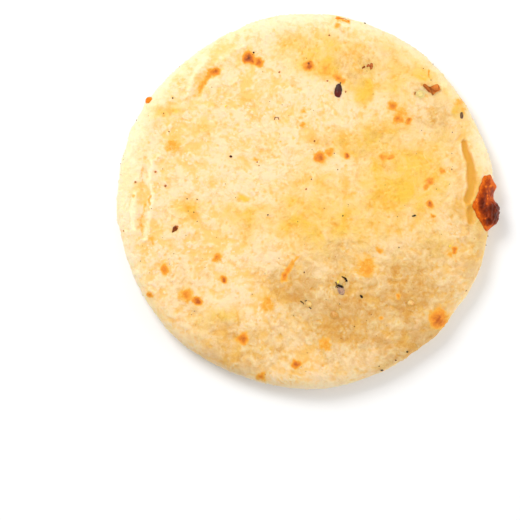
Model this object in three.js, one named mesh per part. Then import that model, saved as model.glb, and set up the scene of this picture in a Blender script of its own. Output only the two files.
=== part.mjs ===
// Arepa: a round griddle cake of corn dough with cheese kneaded in, patted flat by hand.
//
// Two closed solids: the cake itself, with its rounded rim, folds and cracked edge, and the scab of
// cheese that ran out over the rim and toasted dark. The cake lies on its flat underside.
// Millimetres, +Z up. The origin is at the middle of the footprint, on the surface it lies on.

import * as THREE from 'three';

// Driving dimensions of the cake.
const CAKE_RADIUS = 60;
const CAKE_THICKNESS = 10;
const WIDEST_HEIGHT = 4.6;
const RIM_DEPTH = 6.5;
const RIM_SQUARENESS_ABOVE = 2.2;
const RIM_SQUARENESS_BELOW = 3.2;

// Driving dimensions of the toasted cheese, in degrees round the rim's section and millimetres.
const CHEESE_ALONG = -0.8;
const CHEESE_HALF_LENGTH = 9.2;
const CHEESE_TILT = 38;
const CHEESE_HALF_TILT = 47;
const CHEESE_EDGE = 0.5;
const CHEESE_SEAT_GAP = 0.45;

// How finely the surfaces are faceted.
const RIM_SEGMENTS = 144;
const FLAT_RINGS = 7;
const BAND_WIDTH = 7;
const BAND_RINGS = 8;
const ROUND_RINGS_ABOVE = 7;
const ROUND_RINGS_BELOW = 4;
const UNDERSIDE_RINGS = 3;
const CHEESE_RINGS = 8;
const CHEESE_SEGMENTS = 40;

const CRUST_COLOUR = '#f5d592';
const TOASTED_COLOUR = '#8e3a17';

const FULL_TURN = Math.PI * 2;
const QUARTER_TURN = Math.PI / 2;

// Where the hand-patted outline swells or draws in: [direction, spread] in degrees, [outward] in mm.
const OUTLINE_BULGES = [
  [11, 4.5, 0.8],
  [56, 5, 0.3],
  [72, 1.3, 0.3],
  [79, 3, 0.5],
  [112, 1.5, -0.4],
  [127, 13, -1.1],
  [148, 1.4, 0.8],
  [158, 2, 0.5],
  [169, 2.5, 0.3],
  [183, 4, 0.6],
  [225, 8, 0.4],
  [250, 7, -0.4],
  [275, 6, 0.4],
  [304, 6, -0.2],
  [315, 3, 0.2],
  [324, 3.5, -0.5],
  [348, 3.5, -0.45],
];

// Folds and cracks in the crust: a path of places in plan with the half width at each, its height, and
// how square its section is, where 2 is a soft bell. All are in mm, and a negative height is a crease.
const FOLDS = {
  crackUnderTheFlap: {
    path: [
      [50.6, 18.5, 0.85],
      [50.9, 16.2, 0.95],
      [51.7, 14.1, 1.15],
      [52.5, 12.3, 1.0],
      [52.8, 8.0, 1.4],
      [53.0, 5.6, 1.3],
      [52.8, 3.9, 1.0],
      [52.1, 1.6, 1.2],
      [51.5, 0.1, 0.9],
    ],
    height: -1.0,
    squareness: 5,
  },
  secondCrack: {
    path: [[52.3, -2.3, 0.6], [52.5, -4.2, 0.85], [52.6, -6.6, 0.7]],
    height: -0.9,
    squareness: 4,
  },
  creaseBelowTheCracks: {
    path: [[52.0, -9.0, 0.7], [51.8, -11.5, 1.1], [51.4, -15.0, 0.8]],
    height: -0.5,
    squareness: 2,
  },
  edgeOfTheFlap: {
    path: [
      [49.3, 18.0, 0.6],
      [49.9, 12.6, 0.9],
      [50.4, 7.5, 0.9],
      [50.2, 1.0, 0.8],
      [50.9, -5.5, 0.8],
      [49.9, -12.0, 0.6],
    ],
    height: 0.45,
    squareness: 2,
  },
  leftInnerFold: {
    path: [
      [-46.8, 14.3, 0.6],
      [-48.9, 12.4, 0.8],
      [-49.6, 6.3, 0.8],
      [-48.7, 1.8, 0.8],
      [-49.7, -5.0, 1.0],
      [-50.8, -12.3, 0.8],
    ],
    height: 0.7,
    squareness: 2,
  },
  leftOuterFold: {
    path: [[-54.3, 2.2, 0.5], [-55.4, -3.4, 0.9], [-54.9, -9.9, 0.7]],
    height: 0.7,
    squareness: 2,
  },
  creaseBetweenLeftFolds: {
    path: [
      [-51.5, 11.0, 0.3],
      [-52.3, 6.0, 0.35],
      [-52.0, 1.0, 0.5],
      [-52.6, -6.0, 0.8],
      [-52.3, -11.5, 0.5],
    ],
    height: -0.5,
    squareness: 2,
  },
  upperLeftRidge: {
    path: [[-31.7, 45.4, 0.8], [-35.7, 39.2, 1.1], [-38.0, 33.0, 0.7]],
    height: 0.65,
    squareness: 2,
  },
  upperLeftCrease: {
    path: [[-28.7, 41.2, 0.9], [-33.0, 37.4, 1.1], [-35.0, 32.6, 0.8]],
    height: -0.6,
    squareness: 2,
  },
  upperRidge: {
    path: [[-20.4, 49.6, 0.9], [-25.6, 45.9, 1.1], [-28.6, 43.8, 0.8]],
    height: 0.45,
    squareness: 2,
  },
  middleRidge: {
    path: [[-21.2, 38.6, 0.6], [-25.6, 36.0, 0.9], [-27.6, 32.2, 0.6]],
    height: 0.5,
    squareness: 2,
  },
  leftDent: {
    path: [[-28.6, 35.6, 1.0], [-31.0, 32.4, 1.3]],
    height: -0.45,
    squareness: 2,
  },
  topNotch: {
    path: [[-22.4, 56.0, 0.8], [-20.6, 50.5, 0.6]],
    height: -0.9,
    squareness: 2,
  },
  lowerRightRidge: {
    path: [[39.3, -34.7, 0.7], [37.4, -37.2, 1.0], [34.9, -40.1, 0.6]],
    height: 0.6,
    squareness: 2,
  },
  lowerCrease: {
    path: [[17.6, -47.1, 0.6], [23.5, -46.2, 0.9], [27.4, -45.5, 0.6]],
    height: -0.5,
    squareness: 2,
  },
};

// Low blisters where steam lifted the crust: [x, y, radius, height] in mm. Their tops are nearly flat.
const BLISTERS = [
  [36.2, 20.6, 2.3, 0.4],
  [46.4, 20.6, 1.5, 0.35],
  [41.0, 14.5, 3.0, 0.35],
  [36.0, 9.5, 1.6, 0.3],
  [45.0, 4.5, 2.2, 0.35],
  [46.5, -0.5, 1.4, 0.3],
  [-24.0, 30.5, 2.6, 0.25],
  [-47.0, 14.0, 2.8, 0.35],
  [-45.5, 7.5, 1.8, 0.3],
  [4.0, 47.0, 2.4, 0.25],
  [-8.0, -40.0, 3.2, 0.3],
  [-30.0, -34.0, 2.6, 0.3],
];
const BLISTER_SQUARENESS = 4;

// Long soft waves that pressing by hand leaves in the top: each is shorter and lower than the last.
const WAVE_COUNT = 5;
const LONGEST_WAVE = 52;
const WAVE_SHRINK = 0.78;
const WAVE_HEIGHT = 0.11;
const WAVE_HEADING_STEP = 2.4;

// Where the cheese's edge runs out further or stops short: [direction, spread] in degrees, seen from
// outside with 0 along the rim and 90 towards the top, and [outward] as a share of its size.
const CHEESE_EDGE_BULGES = [
  [20, 12, 0.05],
  [58, 14, -0.13],
  [97, 8, 0.21],
  [130, 18, -0.07],
  [157, 12, -0.14],
  [192, 10, 0.05],
  [284, 16, -0.42],
];

// Lumps in the toasted cheese: [along the rim, half length] in mm, [tilt, half tilt] in degrees, height.
const CHEESE_LUMPS = [
  [4.6, 1.1, 6, 16, 1.3],
  [5.6, 1.8, 46, 18, 0.5],
  [-2.4, 1.8, 8, 26, 1.9],
  [-5.6, 1.6, 14, 24, 1.4],
  [-7.3, 1.2, 14, 22, 1.1],
  [-0.9, 1.9, 70, 16, 0.6],
  [-4.6, 1.5, 50, 16, 0.5],
];

function bell(offset, spread, squareness = 2) {
  return Math.exp(-0.5 * Math.abs(offset / spread) ** squareness);
}

// What a list of bulges adds up to in one direction, given in radians.
function bulge(angle, bulges) {
  const direction = THREE.MathUtils.radToDeg(angle);
  let sum = 0;
  for (const [at, spread, outward] of bulges) {
    const away = THREE.MathUtils.euclideanModulo(direction - at + 180, 360) - 180;
    sum += outward * bell(away, spread);
  }
  return sum;
}

// Radius of the outline in one direction from the cake's middle.
function outlineRadius(angle) {
  return CAKE_RADIUS + bulge(angle, OUTLINE_BULGES);
}

// How many half widths a place lies off a path whose points are [x, y, half width].
function widthsFromPath(place, path) {
  let nearest = Infinity;
  for (let i = 1; i < path.length; i += 1) {
    const [startX, startY, startWidth] = path[i - 1];
    const [endX, endY, endWidth] = path[i];
    const segment = new THREE.Line3(new THREE.Vector3(startX, startY, 0), new THREE.Vector3(endX, endY, 0));
    const share = segment.closestPointToPointParameter(place, true);
    const gap = segment.at(share, new THREE.Vector3()).distanceTo(place);
    nearest = Math.min(nearest, gap / THREE.MathUtils.lerp(startWidth, endWidth, share));
  }
  return nearest;
}

// Height that the waves, folds and blisters add to the top at one place in plan.
function relief(x, y) {
  const place = new THREE.Vector3(x, y, 0);
  let height = 0;
  for (let wave = 0; wave < WAVE_COUNT; wave += 1) {
    const heading = wave * WAVE_HEADING_STEP;
    const shrink = WAVE_SHRINK ** wave;
    const travelled = x * Math.cos(heading) + y * Math.sin(heading);
    height += WAVE_HEIGHT * shrink * Math.sin((FULL_TURN * travelled) / (LONGEST_WAVE * shrink) + wave);
  }
  for (const fold of Object.values(FOLDS)) {
    height += fold.height * bell(widthsFromPath(place, fold.path), 1, fold.squareness);
  }
  for (const [atX, atY, radius, rise] of BLISTERS) {
    height += rise * bell(Math.hypot(x - atX, y - atY), radius, BLISTER_SQUARENESS);
  }
  return height;
}

// A point of the rim's skin. The section is two quarter rounds about a core line inside the rim, and
// tilt says where on it the point lies: 0 is the widest line, a quarter turn is where the rim meets the
// flat top and minus a quarter turn is underneath. Past a quarter turn the point runs in over the top.
// lift moves it out of the skin.
function rimPoint(angle, tilt, lift = 0) {
  const pastRim = Math.max(tilt - QUARTER_TURN, 0);
  const onRim = tilt - pastRim;
  const above = onRim >= 0;
  const rise = above ? CAKE_THICKNESS - WIDEST_HEIGHT : WIDEST_HEIGHT;
  const power = above ? RIM_SQUARENESS_ABOVE : RIM_SQUARENESS_BELOW;
  const across = Math.abs(Math.cos(onRim) / RIM_DEPTH) ** power;
  const upright = Math.abs(Math.sin(onRim) / rise) ** power;
  const reach = (across + upright) ** (-1 / power) + lift;
  const radius = outlineRadius(angle) - RIM_DEPTH * (1 + pastRim) + reach * Math.cos(onRim);
  const x = radius * Math.cos(angle);
  const y = radius * Math.sin(angle);
  const onTop = above ? Math.sin(onRim) : 0;
  return new THREE.Vector3(x, y, WIDEST_HEIGHT + reach * Math.sin(onRim) + onTop * relief(x, y));
}

function pointOnFlat(angle, radius, height) {
  return new THREE.Vector3(radius * Math.cos(angle), radius * Math.sin(angle), height);
}

function topPoint(angle, inset) {
  const radius = outlineRadius(angle) - RIM_DEPTH - inset;
  const point = pointOnFlat(angle, radius, CAKE_THICKNESS);
  point.z += relief(point.x, point.y);
  return point;
}

function ring(count, pointAt) {
  return Array.from({ length: count }, (_, i) => pointAt((FULL_TURN * i) / count));
}

// Joins two neighbouring rings with triangles, whatever their counts. A ring of one point is a pole.
function stitch(triangles, inner, outer) {
  let i = 0;
  let j = 0;
  const innerSteps = inner.length > 1 ? inner.length : 0;
  const outerSteps = outer.length > 1 ? outer.length : 0;
  while (i < innerSteps || j < outerSteps) {
    const a = inner[i % inner.length];
    const b = outer[j % outer.length];
    const nextInner = i < innerSteps ? (i + 1) / innerSteps : Infinity;
    const nextOuter = j < outerSteps ? (j + 1) / outerSteps : Infinity;
    if (nextOuter <= nextInner) {
      j += 1;
      triangles.push(a, b, outer[j % outer.length]);
    } else {
      i += 1;
      triangles.push(a, b, inner[i % inner.length]);
    }
  }
}

function closedGeometry(rings) {
  const triangles = [];
  for (let i = 1; i < rings.length; i += 1) {
    stitch(triangles, rings[i - 1], rings[i]);
  }
  const geometry = new THREE.BufferGeometry().setFromPoints(triangles);
  geometry.computeVertexNormals();
  return geometry;
}

// The cake: rings from the middle of the top, over the rim and in to the middle of the underside.
function cakeGeometry() {
  const rings = [[new THREE.Vector3(0, 0, CAKE_THICKNESS + relief(0, 0))]];
  const flatRadius = CAKE_RADIUS - RIM_DEPTH - BAND_WIDTH;
  for (let i = 1; i <= FLAT_RINGS; i += 1) {
    const share = i / FLAT_RINGS;
    const inset = BAND_WIDTH + flatRadius * (1 - share);
    const count = Math.round((RIM_SEGMENTS * share) / 4) * 4;
    rings.push(ring(count, (angle) => topPoint(angle, inset)));
  }
  for (let i = 1; i <= BAND_RINGS; i += 1) {
    const inset = BAND_WIDTH * (1 - i / BAND_RINGS);
    rings.push(ring(RIM_SEGMENTS, (angle) => topPoint(angle, inset)));
  }
  for (let i = 1; i <= ROUND_RINGS_ABOVE; i += 1) {
    const tilt = QUARTER_TURN * (1 - i / ROUND_RINGS_ABOVE);
    rings.push(ring(RIM_SEGMENTS, (angle) => rimPoint(angle, tilt)));
  }
  for (let i = 1; i < ROUND_RINGS_BELOW; i += 1) {
    const tilt = -QUARTER_TURN * (i / ROUND_RINGS_BELOW);
    rings.push(ring(RIM_SEGMENTS, (angle) => rimPoint(angle, tilt)));
  }
  for (let i = 0; i < UNDERSIDE_RINGS; i += 1) {
    const share = 1 - i / UNDERSIDE_RINGS;
    const count = Math.round((RIM_SEGMENTS * share) / 4) * 4;
    const radiusAt = (angle) => (outlineRadius(angle) - RIM_DEPTH) * share;
    rings.push(ring(count, (angle) => pointOnFlat(angle, radiusAt(angle), 0)));
  }
  rings.push([new THREE.Vector3(0, 0, 0)]);
  return closedGeometry(rings);
}

// How thick the cheese is at one place: along the rim in mm and round its section in degrees.
function cheeseThickness(along, tilt) {
  let thickness = CHEESE_EDGE;
  for (const [atAlong, spread, atTilt, tiltSpread, height] of CHEESE_LUMPS) {
    thickness += height * bell(along - atAlong, spread) * bell(tilt - atTilt, tiltSpread);
  }
  return thickness;
}

// A point of the cheese, which lies on the rim like a scab. share runs from 0 in its middle to 1 at
// its edge, and outside picks its outer face or its seat.
function cheesePoint(direction, share, outside) {
  const reach = share * (1 + bulge(direction, CHEESE_EDGE_BULGES));
  const along = CHEESE_ALONG + CHEESE_HALF_LENGTH * reach * Math.cos(direction);
  const tilt = CHEESE_TILT + CHEESE_HALF_TILT * reach * Math.sin(direction);
  const thickness = outside ? cheeseThickness(along, tilt) : 0;
  return rimPoint(along / CAKE_RADIUS, THREE.MathUtils.degToRad(tilt), CHEESE_SEAT_GAP + thickness);
}

// Rings from the middle of the outer face to the edge, and back along the seat.
function cheeseGeometry() {
  const rings = [[cheesePoint(0, 0, true)]];
  const countAt = (i) => Math.max(8, Math.round((CHEESE_SEGMENTS * i) / CHEESE_RINGS / 4) * 4);
  for (let i = 1; i <= CHEESE_RINGS; i += 1) {
    rings.push(ring(countAt(i), (direction) => cheesePoint(direction, i / CHEESE_RINGS, true)));
  }
  for (let i = CHEESE_RINGS; i > 0; i -= 1) {
    rings.push(ring(countAt(i), (direction) => cheesePoint(direction, i / CHEESE_RINGS, false)));
  }
  rings.push([cheesePoint(0, 0, false)]);
  return closedGeometry(rings);
}

function namedMesh(name, geometry, material) {
  const mesh = new THREE.Mesh(geometry, material);
  mesh.name = name;
  return mesh;
}

const crust = new THREE.MeshStandardMaterial({ color: CRUST_COLOUR, roughness: 0.6, metalness: 0 });
const toasted = new THREE.MeshStandardMaterial({ color: TOASTED_COLOUR, roughness: 0.35, metalness: 0 });

const arepa = new THREE.Group();
arepa.add(namedMesh('corn_cake', cakeGeometry(), crust));
arepa.add(namedMesh('toasted_cheese', cheeseGeometry(), toasted));

// The cheese stands out on one side, so the cake's middle is moved off the origin to centre the whole.
const middle = new THREE.Box3().setFromObject(arepa).getCenter(new THREE.Vector3());
arepa.position.set(-middle.x, -middle.y, 0);

export default arepa;
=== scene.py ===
# Arepa: a round, flat griddle cake of corn dough and cheese, patted by hand and baked on both sides.
# It lies on its flat underside with the better side up, on a plain pale table in soft light.

import math

import bpy
import numpy as np
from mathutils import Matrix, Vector, noise
from mathutils.bvhtree import BVHTree


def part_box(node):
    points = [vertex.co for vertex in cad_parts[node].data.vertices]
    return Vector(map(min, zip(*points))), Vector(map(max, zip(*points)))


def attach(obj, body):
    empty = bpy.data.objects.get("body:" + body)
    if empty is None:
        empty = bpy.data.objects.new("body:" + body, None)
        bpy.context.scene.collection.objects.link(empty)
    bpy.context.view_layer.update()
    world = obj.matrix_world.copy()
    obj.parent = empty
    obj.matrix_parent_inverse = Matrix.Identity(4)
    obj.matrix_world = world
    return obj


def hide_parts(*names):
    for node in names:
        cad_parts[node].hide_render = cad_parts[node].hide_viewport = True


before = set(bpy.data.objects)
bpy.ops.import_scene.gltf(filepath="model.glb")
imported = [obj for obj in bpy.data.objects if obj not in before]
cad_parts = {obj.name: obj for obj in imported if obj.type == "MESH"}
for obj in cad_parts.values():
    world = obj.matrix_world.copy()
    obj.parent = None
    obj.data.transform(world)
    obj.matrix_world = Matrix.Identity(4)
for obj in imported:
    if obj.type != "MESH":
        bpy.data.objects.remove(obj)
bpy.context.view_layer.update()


# ---- The cake ------------------------------------------------------------------------------------
# Moist corn dough with grated cheese kneaded in, patted into a round between the palms. It is one
# lump: the rim is rounded, the left edge is folded over, and on the right the top crust has lifted
# into a flap with an open crack beside it. Its form, in millimetres, is that of the solid it replaces.

MM = 0.001
CAKE_RADIUS = 60
CAKE_THICKNESS = 10
WIDEST_HEIGHT = 4.6
RIM_DEPTH = 6.5
RIM_SQUARENESS_ABOVE = 2.2
RIM_SQUARENESS_BELOW = 3.2

# Where the outline swells or draws in: direction and spread in degrees, and how far out.
OUTLINE_BULGES = [
    (11, 4.5, 0.8),
    (56, 5, 0.3),
    (72, 1.3, 0.3),
    (79, 3, 0.5),
    (112, 1.5, -0.4),
    (127, 13, -1.1),
    (148, 1.4, 0.8),
    (158, 2, 0.5),
    (169, 2.5, 0.3),
    (183, 4, 0.6),
    (225, 8, 0.4),
    (250, 7, -0.4),
    (275, 6, 0.4),
    (304, 6, -0.2),
    (315, 3, 0.2),
    (324, 3.5, -0.5),
    (348, 3.5, -0.45),
]

# Folds of the crust: a path of places and half widths, its height, and how square its section is.
FOLDS = {
    "crack under the flap": (
        [
            (50.6, 18.5, 0.85),
            (50.9, 16.2, 0.95),
            (51.7, 14.1, 1.15),
            (52.5, 12.3, 1.0),
            (52.8, 8.0, 1.4),
            (53.0, 5.6, 1.3),
            (52.8, 3.9, 1.0),
            (52.1, 1.6, 1.2),
            (51.5, 0.1, 0.9),
        ],
        -1.0,
        5,
    ),
    "second crack": ([(52.3, -2.3, 0.6), (52.5, -4.2, 0.85), (52.6, -6.6, 0.7)], -0.9, 4),
    "crease below the cracks": ([(52.0, -9.0, 0.7), (51.8, -11.5, 1.1), (51.4, -15.0, 0.8)], -0.5, 2),
    "edge of the flap": (
        [
            (49.3, 18.0, 0.6),
            (49.9, 12.6, 0.9),
            (50.4, 7.5, 0.9),
            (50.2, 1.0, 0.8),
            (50.9, -5.5, 0.8),
            (49.9, -12.0, 0.6),
        ],
        0.45,
        2,
    ),
    "left inner fold": (
        [
            (-46.8, 14.3, 0.6),
            (-48.9, 12.4, 0.8),
            (-49.6, 6.3, 0.8),
            (-48.7, 1.8, 0.8),
            (-49.7, -5.0, 1.0),
            (-50.8, -12.3, 0.8),
        ],
        0.7,
        2,
    ),
    "left outer fold": ([(-54.3, 2.2, 0.5), (-55.4, -3.4, 0.9), (-54.9, -9.9, 0.7)], 0.7, 2),
    "crease between left folds": (
        [(-51.5, 11.0, 0.3), (-52.3, 6.0, 0.35), (-52.0, 1.0, 0.5), (-52.6, -6.0, 0.8), (-52.3, -11.5, 0.5)],
        -0.5,
        2,
    ),
    "upper left ridge": ([(-31.7, 45.4, 0.8), (-35.7, 39.2, 1.1), (-38.0, 33.0, 0.7)], 0.65, 2),
    "upper left crease": ([(-28.7, 41.2, 0.9), (-33.0, 37.4, 1.1), (-35.0, 32.6, 0.8)], -0.6, 2),
    "upper ridge": ([(-20.4, 49.6, 0.9), (-25.6, 45.9, 1.1), (-28.6, 43.8, 0.8)], 0.45, 2),
    "middle ridge": ([(-21.2, 38.6, 0.6), (-25.6, 36.0, 0.9), (-27.6, 32.2, 0.6)], 0.5, 2),
    "left dent": ([(-28.6, 35.6, 1.0), (-31.0, 32.4, 1.3)], -0.45, 2),
    "top notch": ([(-22.4, 56.0, 0.8), (-20.6, 50.5, 0.6)], -0.9, 2),
    "lower right ridge": ([(39.3, -34.7, 0.7), (37.4, -37.2, 1.0), (34.9, -40.1, 0.6)], 0.6, 2),
    "lower crease": ([(17.6, -47.1, 0.6), (23.5, -46.2, 0.9), (27.4, -45.5, 0.6)], -0.5, 2),
}

# Low blisters where steam lifted the crust: place, radius and height.
BLISTERS = [
    (36.2, 20.6, 2.3, 0.4),
    (46.4, 20.6, 1.5, 0.35),
    (41.0, 14.5, 3.0, 0.35),
    (36.0, 9.5, 1.6, 0.3),
    (45.0, 4.5, 2.2, 0.35),
    (46.5, -0.5, 1.4, 0.3),
    (-24.0, 30.5, 2.6, 0.25),
    (-47.0, 14.0, 2.8, 0.35),
    (-45.5, 7.5, 1.8, 0.3),
    (4.0, 47.0, 2.4, 0.25),
    (-8.0, -40.0, 3.2, 0.3),
    (-30.0, -34.0, 2.6, 0.3),
]

# Long soft waves that pressing by hand leaves in the top: each is shorter and lower than the last.
WAVE_COUNT = 5
LONGEST_WAVE = 52
WAVE_SHRINK = 0.78
WAVE_HEIGHT = 0.11
WAVE_HEADING_STEP = 2.4


def bell(offset, spread, squareness=2):
    return np.exp(-0.5 * np.abs(offset / spread) ** squareness)


def bulge(angle, bulges):
    """What a list of bulges adds up to in one direction, given in radians."""
    total = 0
    for at, spread, outward in bulges:
        away = (np.degrees(angle) - at + 180) % 360 - 180
        total = total + outward * bell(away, spread)
    return total


def outline_radius(angle):
    return CAKE_RADIUS + bulge(angle, OUTLINE_BULGES)


def widths_from_path(x, y, path):
    """How many half widths off a path lies. Each point of the path is a place and a half width."""
    nearest = np.full(np.shape(x), np.inf)
    for (ax, ay, a_width), (bx, by, b_width) in zip(path, path[1:]):
        length_squared = (bx - ax) ** 2 + (by - ay) ** 2
        share = np.clip(((x - ax) * (bx - ax) + (y - ay) * (by - ay)) / length_squared, 0, 1)
        gap = np.hypot(x - ax - share * (bx - ax), y - ay - share * (by - ay))
        nearest = np.minimum(nearest, gap / (a_width + share * (b_width - a_width)))
    return nearest


def relief(x, y):
    """Height that the waves, folds and blisters add to the top."""
    height = np.zeros(np.shape(x))
    for wave in range(WAVE_COUNT):
        heading = wave * WAVE_HEADING_STEP
        shrink = WAVE_SHRINK**wave
        travelled = x * math.cos(heading) + y * math.sin(heading)
        turn = 2 * math.pi * travelled / (LONGEST_WAVE * shrink) + wave
        height += WAVE_HEIGHT * shrink * np.sin(turn)
    for path, fold_height, squareness in FOLDS.values():
        height += fold_height * bell(widths_from_path(x, y, path), 1, squareness)
    for at_x, at_y, radius, rise in BLISTERS:
        height += rise * bell(np.hypot(x - at_x, y - at_y), radius, 4)
    return height


def rim_points(angle, tilt, lift=0):
    """Points of the rim's skin. tilt is 0 at the widest line, a quarter turn where the rim meets the
    flat top, more than that on the top, and minus a quarter turn underneath. lift is out of the skin."""
    past_rim = np.maximum(tilt - 0.5 * math.pi, 0)
    tilt = tilt - past_rim
    above = tilt >= 0
    rise = np.where(above, CAKE_THICKNESS - WIDEST_HEIGHT, WIDEST_HEIGHT)
    power = np.where(above, RIM_SQUARENESS_ABOVE, RIM_SQUARENESS_BELOW)
    across = np.abs(np.cos(tilt) / RIM_DEPTH) ** power
    upright = np.abs(np.sin(tilt) / rise) ** power
    reach = (across + upright) ** (-1 / power) + lift
    radius = outline_radius(angle) - RIM_DEPTH * (1 + past_rim) + reach * np.cos(tilt)
    x = radius * np.cos(angle)
    y = radius * np.sin(angle)
    on_top = np.where(above, np.sin(tilt), 0)
    z = WIDEST_HEIGHT + reach * np.sin(tilt) + on_top * relief(x, y)
    return np.stack([x, y, z], axis=-1)


def ring(spacing, radius, points_at):
    """One ring of points, a spacing apart, or a single point where the radius is none."""
    count = max(1, round(2 * math.pi * radius / spacing))
    return points_at(np.arange(count) * 2 * math.pi / count)


def stitched(rings):
    """Triangles between neighbouring rings, whatever their counts, as one vertex list and one face list."""
    faces = []
    start = 0
    for inner, outer in zip(rings, rings[1:]):
        outer_start = start + len(inner)
        inner_steps = len(inner) if len(inner) > 1 else 0
        outer_steps = len(outer) if len(outer) > 1 else 0
        i = j = 0
        while i < inner_steps or j < outer_steps:
            a = start + i % len(inner)
            b = outer_start + j % len(outer)
            next_inner = (i + 1) / inner_steps if i < inner_steps else math.inf
            next_outer = (j + 1) / outer_steps if j < outer_steps else math.inf
            if next_outer <= next_inner:
                j += 1
                faces.append((a, b, outer_start + j % len(outer)))
            else:
                i += 1
                faces.append((a, b, start + i % len(inner)))
        start = outer_start
    return np.concatenate(rings), faces


# The solid's box says where the cake's own middle lies.
cake_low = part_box("corn_cake")[0]
around = np.linspace(0, 2 * math.pi, 721)
cake_middle = np.array([
    cake_low.x / MM - (outline_radius(around) * np.cos(around)).min(),
    cake_low.y / MM - (outline_radius(around) * np.sin(around)).min(),
    0,
])


def mesh_piece(name, points, faces):
    """A smooth-shaded piece from points in millimetres about the cake's middle."""
    mesh = bpy.data.meshes.new(name)
    mesh.from_pydata(((points + cake_middle) * MM).tolist(), [], faces)
    mesh.shade_smooth()
    piece = bpy.data.objects.new(name, mesh)
    bpy.context.scene.collection.objects.link(piece)
    return piece


TOP_SPACING = 0.42
RIM_SPACING = 0.5
UNDERSIDE_SPACING = 0.75
FLAT_RADIUS = CAKE_RADIUS - RIM_DEPTH


def flat_points(angle, share, height):
    radius = (outline_radius(angle) - RIM_DEPTH) * share
    return np.stack([radius * np.cos(angle), radius * np.sin(angle), np.full(np.shape(angle), height)], -1)


def top_points(angle, share):
    points = flat_points(angle, share, CAKE_THICKNESS)
    points[..., 2] += relief(points[..., 0], points[..., 1])
    return points


def cake_rings():
    rings = []
    steps = round(FLAT_RADIUS / TOP_SPACING)
    for i in range(steps + 1):
        share = i / steps
        rings.append(ring(TOP_SPACING, FLAT_RADIUS * share, lambda a: top_points(a, share)))
    rim_steps = round(0.5 * math.pi * RIM_DEPTH / RIM_SPACING)
    for i in range(1, 2 * rim_steps):
        tilt = 0.5 * math.pi * (1 - i / rim_steps)
        rings.append(ring(RIM_SPACING, CAKE_RADIUS, lambda a: rim_points(a, np.full(np.shape(a), tilt))))
    steps = round(FLAT_RADIUS / UNDERSIDE_SPACING)
    for i in range(steps, -1, -1):
        share = i / steps
        rings.append(ring(UNDERSIDE_SPACING, FLAT_RADIUS * share, lambda a: flat_points(a, share, 0)))
    return rings


cake = mesh_piece("arepa_dough", *stitched(cake_rings()))


# How far the griddle has toasted the top: place, radius and level, from a golden haze to dark brown.
TOAST_SPOTS = [
    (-18.0, 45.5, 1.9, 0.9),
    (-14.9, 44.3, 1.6, 0.7),
    (-28.9, 41.1, 1.7, 0.7),
    (1.3, 43.1, 1.7, 0.75),
    (6.4, 41.7, 2.6, 0.35),
    (10.1, 39.2, 1.7, 0.55),
    (11.4, 38.0, 1.1, 0.5),
    (10.5, 58.4, 1.2, 0.5),
    (13.7, 57.4, 1.0, 0.42),
    (10.3, 55.9, 1.2, 0.4),
    (13.8, 55.0, 1.0, 0.34),
    (27.6, 30.4, 1.6, 0.6),
    (30.4, 28.0, 3.0, 0.36),
    (29.6, 25.9, 1.9, 0.5),
    (32.8, 25.4, 1.0, 0.64),
    (4.6, 14.0, 1.8, 0.65),
    (7.6, 15.2, 1.7, 0.5),
    (13.4, 14.4, 0.9, 0.9),
    (24.7, 13.7, 1.7, 0.5),
    (27.0, 14.0, 0.9, 0.55),
    (43.4, 9.2, 1.2, 0.5),
    (39.4, 6.3, 1.7, 0.55),
    (38.2, 4.6, 1.3, 0.5),
    (39.7, -1.0, 1.3, 0.75),
    (40.7, -4.8, 0.8, 0.75),
    (19.2, -21.2, 3.8, 0.42),
    (23.4, -15.6, 1.2, 0.42),
    (42.4, -37.6, 3.0, 0.76),
    (29.3, -30.4, 1.0, 0.5),
    (23.7, -37.6, 0.8, 0.42),
    (47.7, -15.8, 0.9, 0.6),
    (45.8, -16.6, 1.2, 0.4),
    (49.2, 31.4, 2.3, 0.34),
    (50.4, 28.9, 1.5, 0.32),
    (-41.6, 17.6, 3.4, 0.33),
    (-42.8, 18.8, 1.2, 0.36),
    (-43.4, 16.6, 1.2, 0.4),
    (-28.0, -18.3, 1.4, 0.55),
    (-15.7, 12.8, 1.0, 0.38),
    (-0.6, 28.8, 1.2, 0.42),
    (-1.6, 26.4, 0.9, 0.35),
    (-1.1, 23.9, 0.9, 0.5),
    (-55.0, 1.8, 1.1, 0.3),
    (-38.0, -30.0, 2.4, 0.55),
    (-34.5, -32.0, 1.4, 0.75),
    (-20.0, -44.0, 1.8, 0.7),
    (-12.0, -33.0, 2.8, 0.4),
    (-45.0, -22.0, 1.6, 0.5),
    (-3.0, -52.0, 1.4, 0.7),
    (6.0, -46.0, 2.2, 0.42),
    (-26.0, -25.0, 1.1, 0.75),
    (-50.0, -30.0, 1.3, 0.6),
    (-14.0, -56.0, 1.5, 0.6),
]
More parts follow.
